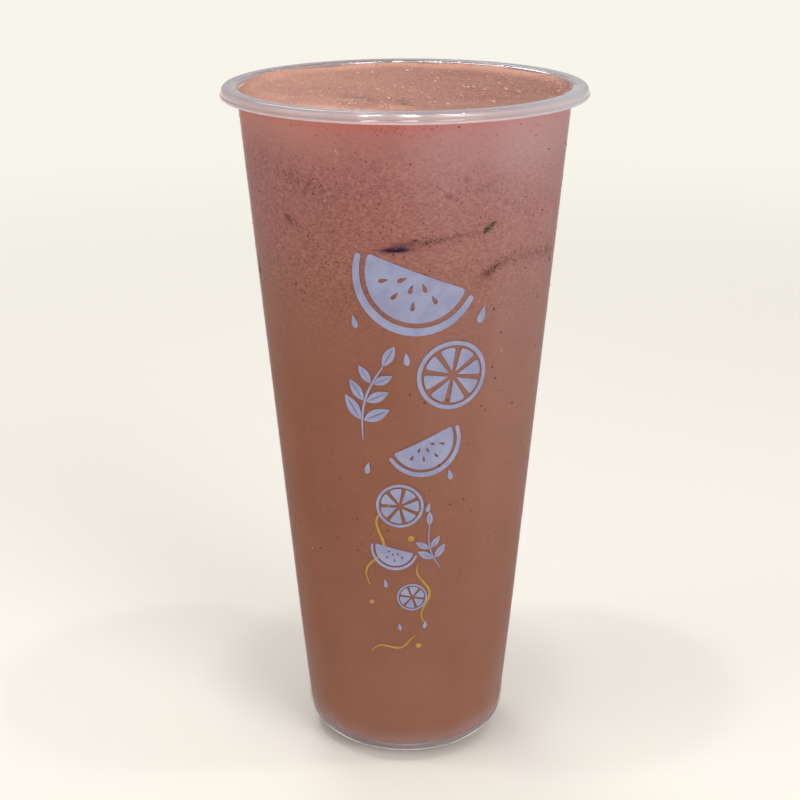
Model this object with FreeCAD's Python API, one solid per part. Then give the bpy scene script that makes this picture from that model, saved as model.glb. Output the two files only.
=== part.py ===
import FreeCAD, Part
import math
import os

from FreeCAD import Vector

# A tall takeaway cup of clear polypropylene, brimful of blended watermelon lemonade.
# All sizes are in millimetres. The origin is on the table, under the middle of the cup, and +Z is up.

# The cup's wall, measured outside and carried straight on to the table and to the brim.
cup_height = 183.0
mouth_diameter = 86.9
foot_diameter = 54.0
wall = 0.5

# The heel, where the wall turns under, and the floor on its ring-shaped foot.
heel_radius = 9.5
inner_heel_radius = 7.5
foot_ring_width = 1.6
foot_recess = 1.4
recess_slope = 0.8
floor_thickness = 1.2
foot_edge_radius = 0.4

# The rolled rim: a hollow channel, open below, that ends in a thickened lip.
rim_overhang = 4.05
rim_drop = 2.7
rim_thickness = 0.6
brim_radius = 0.9
shoulder_radius = 1.3
channel_radius = 0.4
lip_proud = 0.25
lip_height = 0.75
lip_radius = 0.3

# The drink: its level below the brim, and the froth that floats on it.
fill_gap = 2.0
froth_depth = 39.0

# The froth's top: long low swells, and folds as (x, y, heading in degrees, length, width, height).
swell_height = 0.22
swell_length = 34.0
swell_skew = 0.35
folds = [
    (-9.0, -21.0, 8.0, 15.0, 3.4, 0.75),
    (2.0, -26.0, -6.0, 13.0, 3.0, 0.6),
    (-22.0, 4.0, 24.0, 18.0, 4.6, 0.5),
    (20.0, -8.0, -14.0, 20.0, 4.2, 0.55),
    (6.0, 17.0, 4.0, 24.0, 5.2, 0.45),
]

# Where froth meets lemonade: higher at the front, sagging towards both sides, lower on the left.
mix_front_rise = 5.5
mix_side_sag = 6.0
mix_right_rise = 3.0
mix_ripple = 0.8
mix_ripple_length = 27.0

# A surface of the drink is interpolated through this many points each way.
surface_points = 37

# Worked out from the sizes above.
wall_slope = (mouth_diameter - foot_diameter) / 2 / cup_height
wall_lean = math.atan(wall_slope)
floor_top = foot_recess + floor_thickness
froth_level = cup_height - fill_gap
mix_level = froth_level - froth_depth
rim_radius = mouth_diameter / 2 + rim_overhang


def outside(z):
    """Radius of the wall's outside at height z."""
    return foot_diameter / 2 + wall_slope * z


def inside(z):
    """Radius of the wall's inside at height z."""
    return outside(z) - wall / math.cos(wall_lean)


def rounded_profile(corners):
    """A closed face in the XZ plane through corners (r, z, rounding radius), with arcs tangent to both sides."""
    points = [Vector(r, 0, z) for r, z, _ in corners]
    rounds = []
    for i, (_, _, radius) in enumerate(corners):
        corner = points[i]
        back = (points[i - 1] - corner).normalize()
        ahead = (points[(i + 1) % len(points)] - corner).normalize()
        half_angle = back.getAngle(ahead) / 2
        reach = radius / math.tan(half_angle)
        middle_way = (back + ahead).normalize()
        middle = corner + middle_way * (radius / math.sin(half_angle) - radius)
        rounds.append((corner + back * reach, middle, corner + ahead * reach))
    edges = []
    for i, (start, middle, end) in enumerate(rounds):
        edges.append(Part.makeLine(rounds[i - 1][2], start))
        if corners[i][2] > 0:
            edges.append(Part.Arc(start, middle, end).toShape())
    return Part.Face(Part.Wire(edges))


def turned(corners):
    """The profile turned once round the cup's axis."""
    return rounded_profile(corners).revolve(Vector(0, 0, 0), Vector(0, 0, 1), 360)


def make_cup():
    """One moulding: floor, foot ring, heel, tapered wall and rolled rim."""
    roof = cup_height - rim_thickness
    rim_bottom = cup_height - rim_drop
    shoulder = rim_radius - lip_proud
    lip_inside = shoulder - rim_thickness
    foot_outside = outside(heel_radius) - heel_radius / math.cos(wall_lean)
    foot_inside = foot_outside - foot_ring_width
    return turned([
        (0, floor_top, 0),
        (inside(floor_top), floor_top, inner_heel_radius),
        (inside(cup_height), cup_height, brim_radius),
        (shoulder, cup_height, shoulder_radius),
        (shoulder, rim_bottom + lip_height + lip_proud, lip_radius),
        (rim_radius, rim_bottom + lip_height, lip_radius),
        (rim_radius, rim_bottom, lip_radius),
        (lip_inside, rim_bottom, lip_radius),
        (lip_inside, roof, channel_radius),
        (outside(roof), roof, channel_radius),
        (outside(0), 0, heel_radius),
        (foot_inside, 0, foot_edge_radius),
        (foot_inside - recess_slope, foot_recess, foot_edge_radius),
        (0, foot_recess, 0),
    ])


def froth_top(x, y):
    """Height of the froth's top."""
    z = froth_level
    z += swell_height * math.sin(2 * math.pi * (x + swell_skew * y) / swell_length)
    z += swell_height * math.cos(2 * math.pi * (y - swell_skew * x) / swell_length)
    for fold_x, fold_y, heading, length, width, height in folds:
        turn = math.radians(heading)
        along = (x - fold_x) * math.cos(turn) + (y - fold_y) * math.sin(turn)
        across = (y - fold_y) * math.cos(turn) - (x - fold_x) * math.sin(turn)
        z += height * math.exp(-(2 * along / length) ** 2 - (2 * across / width) ** 2)
    return z


def froth_bottom(x, y):
    """Height of the line where the froth meets the lemonade."""
    reach = inside(mix_level)
    z = mix_level - mix_front_rise * y / reach
    z += mix_right_rise * x / reach - mix_side_sag * (x / reach) ** 2
    ripple = math.sin(2 * math.pi * x / mix_ripple_length) * math.cos(2 * math.pi * y / mix_ripple_length)
    return z + mix_ripple * ripple


def space_above(height_at):
    """Everything above a wavy surface, a little wider than the cup and taller than its brim."""
    half = inside(cup_height) + 2 * wall
    step = 2 * half / (surface_points - 1)
    places = [-half + step * i for i in range(surface_points)]
    surface = Part.BSplineSurface()
    surface.interpolate([[Vector(x, y, height_at(x, y)) for y in places] for x in places])
    return surface.toShape().extrude(Vector(0, 0, cup_height))


def make_drink():
    """The cup's contents up to the froth's top, parted into lemonade and froth."""
    contents = turned([
        (0, floor_top, 0),
        (inside(floor_top), floor_top, inner_heel_radius),
        (inside(cup_height), cup_height, 0),
        (0, cup_height, 0),
    ])
    filled = contents.cut(space_above(froth_top))
    froth_space = space_above(froth_bottom)
    return filled.cut(froth_space), filled.common(froth_space)


lemonade, froth = make_drink()
nodes = {"cup": make_cup(), "lemonade": lemonade, "froth": froth}

os.makedirs("parts", exist_ok=True)
for name, shape in nodes.items():
    solid = shape.Solids[0]
    solid.exportStep(f"parts/{name}.step")
    box = solid.BoundBox
    print(f"{name}: {len(shape.Solids)} solid, {solid.Volume / 1000:.1f} ml, z {box.ZMin:.2f} to {box.ZMax:.2f} mm")
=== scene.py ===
import math
import random

import bmesh
import bpy
from mathutils import Matrix, Vector


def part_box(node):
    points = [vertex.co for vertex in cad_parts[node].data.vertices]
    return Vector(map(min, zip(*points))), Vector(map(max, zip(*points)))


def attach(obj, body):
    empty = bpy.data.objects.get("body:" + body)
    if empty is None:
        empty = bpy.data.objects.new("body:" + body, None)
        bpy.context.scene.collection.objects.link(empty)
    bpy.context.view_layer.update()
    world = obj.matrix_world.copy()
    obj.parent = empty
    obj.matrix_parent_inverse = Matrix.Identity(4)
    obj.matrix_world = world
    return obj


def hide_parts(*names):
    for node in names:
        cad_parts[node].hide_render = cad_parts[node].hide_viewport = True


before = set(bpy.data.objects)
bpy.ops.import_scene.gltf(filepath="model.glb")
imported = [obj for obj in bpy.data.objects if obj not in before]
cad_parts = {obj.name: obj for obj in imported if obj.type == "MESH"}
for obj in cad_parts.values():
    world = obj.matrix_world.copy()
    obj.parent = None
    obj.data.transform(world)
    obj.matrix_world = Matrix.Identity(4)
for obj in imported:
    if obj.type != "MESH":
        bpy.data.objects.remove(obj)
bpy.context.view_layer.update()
mm = 0.001


# Node trees, written as expressions

class Wire:  # one output socket, with arithmetic
    def __init__(self, graph, socket):
        self.graph = graph
        self.socket = socket

    def output(self, name):
        return Wire(self.graph, self.socket.node.outputs[name])

    def maths(self, operation, *values):
        return self.graph.make("ShaderNodeMath", {"operation": operation}, (self, *values))

    def vector(self, operation, *values):
        return self.graph.make("ShaderNodeVectorMath", {"operation": operation}, (self, *values))

    def scaled(self, factor):  # a vector or a colour times a number
        values = {0: self, "Scale": factor}
        return self.graph.make("ShaderNodeVectorMath", {"operation": "SCALE"}, values)

    def dot(self, other):
        return self.vector("DOT_PRODUCT", other).output("Value")

    def axis(self, name):
        return self.graph.make("ShaderNodeSeparateXYZ", {}, [self], name)

    def fromAxis(self):  # the distance of a place from the upright axis
        return self.vector("MULTIPLY", (1.0, 1.0, 0.0)).vector("LENGTH").output("Value")

    def __add__(self, other):
        return self.maths("ADD", other)

    def __sub__(self, other):
        return self.maths("SUBTRACT", other)

    def __rsub__(self, other):
        return self.graph.make("ShaderNodeMath", {"operation": "SUBTRACT"}, (other, self))

    def __mul__(self, other):
        return self.maths("MULTIPLY", other)

    def __truediv__(self, other):
        return self.maths("DIVIDE", other)

    def __pow__(self, other):
        return self.maths("POWER", other)

    def __gt__(self, other):
        return self.maths("GREATER_THAN", other)

    def __lt__(self, other):
        return self.maths("LESS_THAN", other)

    __radd__ = __add__
    __rmul__ = __mul__


def setStops(ramp, stops):
    while len(ramp.elements) < len(stops):
        ramp.elements.new(1)
    for element, (position, colour) in zip(ramp.elements, stops):
        element.position = position
        element.color = colour


class Graph:  # a shader tree or a geometry tree
    def __init__(self, tree):
        self.tree = tree

    def make(self, kind, settings=None, values=None, output=0):
        node = self.tree.nodes.new(kind)
        for name, value in (settings or {}).items():
            if name == "stops":
                setStops(node.color_ramp, value)
            else:
                setattr(node, name, value)
        pairs = values.items() if isinstance(values, dict) else enumerate(values or ())
        for key, value in pairs:
            if isinstance(value, Wire):
                self.tree.links.new(value.socket, node.inputs[key])
            elif value is not None:
                node.inputs[key].default_value = value
        return Wire(self, node.outputs[output]) if len(node.outputs) else node

    def place(self):  # where a point of the piece is, in millimetres
        return self.make("ShaderNodeTexCoord", {}, {}, "Object").scaled(1 / mm)

    def mixColour(self, factor, first, second):
        return self.make("ShaderNodeMix", {"data_type": "RGBA"}, {0: factor, 6: first, 7: second}, 2)

    def ramp(self, factor, stops):
        return self.make("ShaderNodeValToRGB", {"stops": stops}, [factor])

    def mixShader(self, factor, first, second):
        return self.make("ShaderNodeMixShader", {}, [factor, first, second])

    def combined(self, *lengths):
        return self.make("ShaderNodeCombineXYZ", {}, lengths)

    def smooth(self, value, low, high, atLow=0.0, atHigh=1.0):
        settings = {"interpolation_type": "SMOOTHSTEP"}
        return self.make("ShaderNodeMapRange", settings, [value, low, high, atLow, atHigh])

    def noise(self, where, scale, detail=2.0, roughness=0.5, distortion=0.0):
        values = {"Vector": where, "Scale": scale, "Detail": detail, "Roughness": roughness}
        return self.make("ShaderNodeTexNoise", {}, {**values, "Distortion": distortion})

    def cells(self, where, scale, feature="F1"):
        return self.make("ShaderNodeTexVoronoi", {"feature": feature}, {"Vector": where, "Scale": scale})

    def random(self, values):
        return self.make("FunctionNodeRandomValue", {"data_type": "FLOAT"}, values, "Value")

    def bump(self, height, depth, strength=1.0):
        values = {"Strength": strength, "Distance": depth * mm, "Height": height}
        return self.make("ShaderNodeBump", {}, values)

    def principled(self, colour, roughness, more=None):
        values = {"Base Color": colour, "Roughness": roughness, **(more or {})}
        return self.make("ShaderNodeBsdfPrincipled", {}, values)


def seen(red, green, blue):  # a colour as the eye reads it, 0 to 255, in linear light
    return (*(((c / 255 + 0.055) / 1.055) ** 2.4 for c in (red, green, blue)), 1)


def newMaterial(name, build):
    material = bpy.data.materials.new(name)
    material.use_nodes = True
    material.node_tree.nodes.clear()
    graph = Graph(material.node_tree)
    graph.make("ShaderNodeOutputMaterial", {}, {"Surface": build(graph)})
    return material


# Meshes. Shapes are worked out in millimetres and stored in metres.

sharpFrom = math.radians(40)


def facesOutward(mesh):
    shape = bmesh.new()
    shape.from_mesh(mesh)
    bmesh.ops.recalc_face_normals(shape, faces=shape.faces)
    shape.to_mesh(mesh)
    shape.free()


def placed(points):  # points given as (radius, angle, height)
    return [(r * math.sin(a) * mm, -r * math.cos(a) * mm, z * mm) for r, a, z in points]


def tellTriangles(name, mesh):
    print(name, "has", sum(len(face.vertices) - 2 for face in mesh.polygons), "triangles")


def newObject(name, content):
    thing = bpy.data.objects.new(name, content)
    bpy.context.scene.collection.objects.link(thing)
    return thing


def addPiece(name, mesh, node=None):
    mesh.name = name
    mesh.polygons.foreach_set("use_smooth", [True] * len(mesh.polygons))
    mesh.set_sharp_from_angle(angle=sharpFrom)
    piece = newObject(name, mesh)
    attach(piece, "root")
    if node:
        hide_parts(node)
    return piece


def turnedRings(name, rings, segments):  # the first ring and the last are poles
    vertices = []
    faces = []
    starts = []
    last = len(rings) - 1
    for i, ring in enumerate(rings):
        starts.append(len(vertices))
        count = 1 if i in (0, last) else segments
        vertices += [ring(2 * math.pi * k / segments) for k in range(count)]
    for i in range(last):
        for k in range(segments):
            after = (k + 1) % segments
            lower = [starts[i]] if i == 0 else [starts[i] + k, starts[i] + after]
            upper = [starts[last]] if i == last - 1 else [starts[i + 1] + after, starts[i + 1] + k]
            faces.append(lower + upper)
    mesh = bpy.data.meshes.new(name)
    mesh.from_pydata(placed(vertices), [], faces)
    facesOutward(mesh)
    return mesh


def growNodes(name, sizes, build, material, source):  # runs a geometry tree and keeps its mesh
    tree = bpy.data.node_groups.new(name + "Nodes", "GeometryNodeTree")
    graph = Graph(tree)
    kinds = {int: "NodeSocketInt", float: "NodeSocketFloat"}
    tree.interface.new_socket("Geometry", in_out="INPUT", socket_type="NodeSocketGeometry")
    named = {}
    for label, value in sizes.items():
        named[label] = tree.interface.new_socket(label, in_out="INPUT", socket_type=kinds[type(value)])
    tree.interface.new_socket("Geometry", in_out="OUTPUT", socket_type="NodeSocketGeometry")
    entry = tree.nodes.new("NodeGroupInput")
    inputs = {socket.name: Wire(graph, socket) for socket in entry.outputs if socket.name}
    made = build(graph, inputs)
    grown, painted = made if isinstance(made, tuple) else (made, None)
    grown = graph.make("GeometryNodeRealizeInstances", {}, [grown])
    finish = {"Geometry": grown, "Selection": painted, "Material": material}
    graph.make("NodeGroupOutput", {}, [graph.make("GeometryNodeSetMaterial", {}, finish)])
    holder = newObject(name + "Holder", source)
    modifier = holder.modifiers.new("nodes", "NODES")
    modifier.node_group = tree
    for label, value in sizes.items():
        modifier[named[label].identifier] = value
    depsgraph = bpy.context.evaluated_depsgraph_get()
    mesh = bpy.data.meshes.new_from_object(holder.evaluated_get(depsgraph), depsgraph=depsgraph)
    holder.modifiers.clear()
    bpy.data.objects.remove(holder)
    tellTriangles(name, mesh)
    return mesh


# The cup

cupLow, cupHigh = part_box("cup")
cup = {
    "height": cupHigh.z / mm,
    "rimRadius": cupHigh.x / mm,
    "mouthDiameter": 86.9,
    "footDiameter": 54.0,
    "wall": 0.5,
    "heelRadius": 9.5,
    "innerHeelRadius": 7.5,
    "footRingWidth": 1.6,
    "footRecess": 1.4,
    "recessSlope": 0.8,
    "floorThickness": 1.2,
    "footEdgeRadius": 0.4,
    "rimDrop": 2.7,
    "rimThickness": 0.6,
    "brimRadius": 0.9,
    "shoulderRadius": 1.3,
    "channelRadius": 0.4,
    "lipProud": 0.25,
    "lipHeight": 0.75,
    "lipRadius": 0.3,
    "segments": 320,
    "rimHazeAndPaintedLight": [  # milkiness of the thick plastic, by share of the rim's height; painted highlight on the lip at the foot, painted shade in a dark band just above it, darker on the roof
        (0.00, seen(204, 186, 190)),
        (0.17, seen(200, 180, 184)),
        (0.27, seen(162, 136, 134)),
        (0.36, seen(168, 143, 142)),
        (0.50, seen(190, 170, 169)),
        (0.72, seen(188, 169, 169)),
        (0.88, seen(158, 142, 146)),
        (1.00, seen(150, 136, 142)),
    ],
    "heelHazeAndPaintedLight": [  # the same by share of the heel's height; the near-white foot is a painted bright band, the dark line above it painted shade
        (0.00, seen(252, 251, 253)),
        (0.24, seen(250, 248, 251)),
        (0.31, seen(162, 144, 150)),
        (0.42, seen(180, 166, 172)),
        (1.00, seen(190, 178, 184)),
    ],
    "heelTop": 10.0,
    "rightPaintedReflection": seen(182, 184, 187),  # the rim is greyer at the right, a painted reflection of darker surroundings
    "backEdgeShade": seen(112, 104, 110),  # and its far edge is dark, a line of painted shade
    "backStrength": 0.85,
    "backMilk": 0.3,
    "backSkew": 0.7,
    # a band is where it starts, where it ends and, where given, its strength at either end
    "rimBand": (-0.6, -0.1),  # from the foot of the rim
    "rightBand": (12.0, 44.0, 0.0, 0.55),
    "backRadii": (46.1, 46.7),
    "backReach": (18.0, 46.0),
    "rimMilk": (43.3, 45.4, 0.12, 0.66),  # how milky, between two radii
    "heelMilk": (11.0, 2.6, 0.0, 0.36),  # the same between two heights
    "footMilk": (3.3, 2.7, 0.0, 0.62),
    "sideFoot": (10.0, 22.0, 0.0, 2.0),  # the foot's milkiness and its painted bright band stand higher at the sides
    "leastCloud": 0.85,
    "cloudSpread": 0.3,
    "cloudGrain": (0.12, 3.0),
    "waveGrain": (0.09, 2.0),
    "waveDepth": 0.25,
    "ior": 1.49,
    "clearRoughness": 0.05,
    "milkyRoughness": 0.11,
    "clearTint": (0.93, 0.92, 0.93, 1),
    "filmTint": (0.985, 0.98, 0.985, 1),
    "shadowTint": (0.95, 0.945, 0.96, 1),
}
wallSlope = (cup["mouthDiameter"] - cup["footDiameter"]) / 2 / cup["height"]
wallLean = math.atan(wallSlope)
floorTop = cup["footRecess"] + cup["floorThickness"]


def outside(z):
    return cup["footDiameter"] / 2 + wallSlope * z


def inside(z):
    return outside(z) - cup["wall"] / math.cos(wallLean)


def roundedOutline(corners, arcStep=9, longestStep=5.0):  # a chain of corners (x, y, radius), rounded
    outline = []
    for i, (x, y, radius) in enumerate(corners):
        corner = Vector((x, y))
        bend = [corner]
        if radius:
            back = (Vector(corners[i - 1][:2]) - corner).normalized()
            ahead = (Vector(corners[(i + 1) % len(corners)][:2]) - corner).normalized()
            half = back.angle(ahead) / 2
            start = corner + back * (radius / math.tan(half))
            centre = corner + (back + ahead).normalized() * (radius / math.sin(half))
            turn = math.copysign(math.pi - 2 * half, back.y * ahead.x - back.x * ahead.y)
            steps = max(2, math.ceil(abs(math.degrees(turn)) / arcStep))
            spoke = start - centre
            bend = [centre + Matrix.Rotation(turn * k / steps, 2) @ spoke for k in range(steps + 1)]
        if outline:
            gap = bend[0] - outline[-1]
            steps = max(1, math.ceil(gap.length / longestStep))
            outline += [outline[-1] + gap / steps * k for k in range(1, steps)]
        outline += bend
    return outline


def latheNodes(graph, inputs):  # turns an upright outline once round the Z axis
    outline = graph.make("GeometryNodeMeshToCurve", {}, [inputs["Geometry"]])
    quarter = (math.pi / 2, 0, 0)
    away = graph.combined(0 - inputs["Path radius"])
    moved = {"Geometry": outline, "Translation": away, "Rotation": quarter}
    laid = graph.make("GeometryNodeTransform", {}, moved)
    ring = {"Resolution": inputs["Segments"], "Radius": inputs["Path radius"]}
    circle = graph.make("GeometryNodeCurvePrimitiveCircle", {}, ring)
    turned = graph.make("GeometryNodeCurveToMesh", {}, {"Curve": circle, "Profile Curve": laid})
    joined = {"Geometry": turned, "Distance": inputs["Join"]}
    return graph.make("GeometryNodeMergeByDistance", {}, joined)


def lathe(name, outline, segments, material):
    chain = bpy.data.meshes.new(name + "Outline")
    links = [(i, i + 1) for i in range(len(outline) - 1)]
    chain.from_pydata([(p.x * mm, 0, p.y * mm) for p in outline], links, [])
    sizes = {"Segments": segments, "Path radius": 20 * mm, "Join": 0.001 * mm}
    mesh = growNodes(name, sizes, latheNodes, material, chain)
    facesOutward(mesh)
    return mesh


def clearPlastic(graph):  # a thin wall that shows the drink plainly; rim and heel bend light
    place = graph.place()
    height = place.axis("Z")
    right = place.axis("X")
    bump = graph.bump(graph.noise(place, *cup["waveGrain"]), cup["waveDepth"])
    clear = graph.principled(cup["clearTint"], cup["clearRoughness"], {
        "IOR": cup["ior"],
        "Transmission Weight": 1.0,
        "Normal": bump,
    })
    rimFoot = cup["height"] - cup["rimDrop"]
    rim = graph.smooth(height - rimFoot, *cup["rimBand"])
    # the rim's colour, with a painted highlight on the lip and painted shade just above it
    rimHazeAndPaintedLight = graph.ramp((height - rimFoot) / cup["rimDrop"], cup["rimHazeAndPaintedLight"])
    low = height - graph.smooth(right.maths("ABSOLUTE"), *cup["sideFoot"])
    # the heel's colour, with a painted bright band at the foot and a line of painted shade above it
    heelHazeAndPaintedLight = graph.ramp(low / cup["heelTop"], cup["heelHazeAndPaintedLight"])
    far = place.fromAxis()
    # painted shade: a dark line along the rim's far edge, made milkier there too
    back = graph.smooth(place.axis("Y") + right * cup["backSkew"], *cup["backReach"])
    back = back * graph.smooth(far, *cup["backRadii"])
    hazeAndPaintedLight = graph.mixColour(rim, heelHazeAndPaintedLight, rimHazeAndPaintedLight)
    # painted reflection: the rim greyer at the right
    hazeAndPaintedLight = graph.mixColour(rim * graph.smooth(right, *cup["rightBand"]), hazeAndPaintedLight, cup["rightPaintedReflection"])
    hazeAndPaintedLight = graph.mixColour(back * cup["backStrength"], hazeAndPaintedLight, cup["backEdgeShade"])
    milky = graph.principled(hazeAndPaintedLight, cup["milkyRoughness"], {"IOR": cup["ior"], "Normal": bump})
    cloudy = cup["leastCloud"] + cup["cloudSpread"] * graph.noise(place, *cup["cloudGrain"])
    rimMilk = graph.smooth(far, *cup["rimMilk"]) * cloudy + back * cup["backMilk"]
    heelMilk = graph.smooth(low, *cup["heelMilk"]) + graph.smooth(low, *cup["footMilk"])
    thick = graph.mixShader(rimMilk, clear, milky)
    thin = graph.make("ShaderNodeBsdfTransparent", {}, [cup["filmTint"]])
    wall = graph.mixShader(heelMilk * cloudy, thin, milky)
    body = graph.mixShader(rim, wall, thick)
    shadow = graph.make("ShaderNodeLightPath", {}, {}, "Is Shadow Ray")
    lamps = shadow.maths("MAXIMUM", shadow.output("Is Diffuse Ray"))
    through = graph.make("ShaderNodeBsdfTransparent", {}, [cup["shadowTint"]])
    return graph.mixShader(lamps, body, through)


def makeCup():
    roof = cup["height"] - cup["rimThickness"]
    rimBottom = cup["height"] - cup["rimDrop"]
    shoulder = cup["rimRadius"] - cup["lipProud"]
    lipInside = shoulder - cup["rimThickness"]
    footOutside = outside(cup["heelRadius"]) - cup["heelRadius"] / math.cos(wallLean)
    footInside = footOutside - cup["footRingWidth"]
    outline = roundedOutline([
        (0, floorTop, 0),
        (inside(floorTop), floorTop, cup["innerHeelRadius"]),
        (inside(cup["height"]), cup["height"], cup["brimRadius"]),
        (shoulder, cup["height"], cup["shoulderRadius"]),
        (shoulder, rimBottom + cup["lipHeight"] + cup["lipProud"], cup["lipRadius"]),
        (cup["rimRadius"], rimBottom + cup["lipHeight"], cup["lipRadius"]),
        (cup["rimRadius"], rimBottom, cup["lipRadius"]),
        (lipInside, rimBottom, cup["lipRadius"]),
        (lipInside, roof, cup["channelRadius"]),
        (outside(roof), roof, cup["channelRadius"]),
        (outside(0), 0, cup["heelRadius"]),
        (footInside, 0, cup["footEdgeRadius"]),
        (footInside - cup["recessSlope"], cup["footRecess"], cup["footEdgeRadius"]),
        (0, cup["footRecess"], 0),
    ])
    mesh = lathe("cup", outline, cup["segments"], newMaterial("clearPlastic", clearPlastic))
    return addPiece("cupShell", mesh, "cup")


# The drink

drink = {
    "frothLevel": cup["height"] - 2.0,
    "frothDepth": 39.0,
    "swellHeight": 0.22,
    "swellLength": 34.0,
    "swellSkew": 0.35,
    "folds": [  # x, y, heading in degrees, length, width, height
        (-9, -15.5, -10, 11, 3.2, 0.75),
        (-1, -25, -12, 14, 3.4, 0.7),
        (-22, 4, 24, 18, 4.6, 0.5),
        (20, -8, -14, 20, 4.2, 0.55),
        (6, 17, 4, 24, 5.2, 0.45),
    ],
    "climb": 0.7,  # how far the froth climbs the wall
    "climbReach": 1.1,
    "frontRise": 5.5,
    "sideSag": 6.0,
    "rightRise": 3.0,
    "ripple": 0.8,
    "rippleLength": 27.0,
    "skin": 0.12,  # how far the drink reaches into the floor of the cup
    "wallSkin": 0.36,  # and into its wall, which is drawn as a film that bends no light
    "heelSkin": 0.10,
    "skinHeights": (8.0, 34.0),  # the reach into the wall grows between them
    "backRise": 0.4,
    "highest": 182.4,
    "segments": 420,
    "topRings": 130,
    "wallRings": 24,
    "hiddenRings": 16,
    "topCrowding": 1.25,  # above 1 the rings of the top stand closer by the wall
}
mixLevel = drink["frothLevel"] - drink["frothDepth"]
foam = {  # small domes and wrinkles on the top
    "Lowest top": drink["frothLevel"] - 3.0,
    "Domes per mm": 0.62,
    "Dome height": 0.26,
    "Wrinkles per mm": 0.22,
    "Wrinkle height": 0.55,
}


def drinkEdge(z):
    low, high = drink["skinHeights"]
    share = min(1, max(0, (z - low) / (high - low)))
    return inside(z) + drink["heelSkin"] + share * (drink["wallSkin"] - drink["heelSkin"])


def frothTop(x, y):
    wave = 2 * math.pi / drink["swellLength"]
    z = drink["frothLevel"]
    z += drink["swellHeight"] * math.sin(wave * (x + drink["swellSkew"] * y))
    z += drink["swellHeight"] * math.cos(wave * (y - drink["swellSkew"] * x))
    for foldX, foldY, heading, length, width, height in drink["folds"]:
        turn = math.radians(heading)
        along = (x - foldX) * math.cos(turn) + (y - foldY) * math.sin(turn)
        across = (y - foldY) * math.cos(turn) - (x - foldX) * math.sin(turn)
        z += height * math.exp(-(2 * along / length) ** 2 - (2 * across / width) ** 2)
    reach = inside(drink["frothLevel"])
    z += drink["backRise"] * y / reach
    z += drink["climb"] * math.exp(-max(0, reach - math.hypot(x, y)) / drink["climbReach"])
    return min(z, drink["highest"])


def frothBottom(x, y):
    reach = inside(mixLevel)
    z = mixLevel - drink["frontRise"] * y / reach
    z += drink["rightRise"] * x / reach - drink["sideSag"] * (x / reach) ** 2
    waves = 2 * math.pi / drink["rippleLength"]
    return z + drink["ripple"] * math.sin(waves * x) * math.cos(waves * y)


def drinkRing(share, heightAt):  # a ring in a surface of the drink, at a share of the way to the wall
    def at(angle):
        x = math.sin(angle)
        y = -math.cos(angle)
        edge = drinkEdge(heightAt(x * inside(mixLevel), y * inside(mixLevel)))
        z = heightAt(share * edge * x, share * edge * y)
        return share * drinkEdge(z), angle, z
    return at


def wallRing(share, lowAt, highAt):  # a ring on the wall, at a share of the way up between two surfaces
    def at(angle):
        low = drinkRing(1, lowAt)(angle)[2]
        high = drinkRing(1, highAt)(angle)[2]
        z = low + share * (high - low)
        return drinkEdge(z), angle, z
    return at


def fixedRing(r, z):
    return lambda angle: (r, angle, z)


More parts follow.
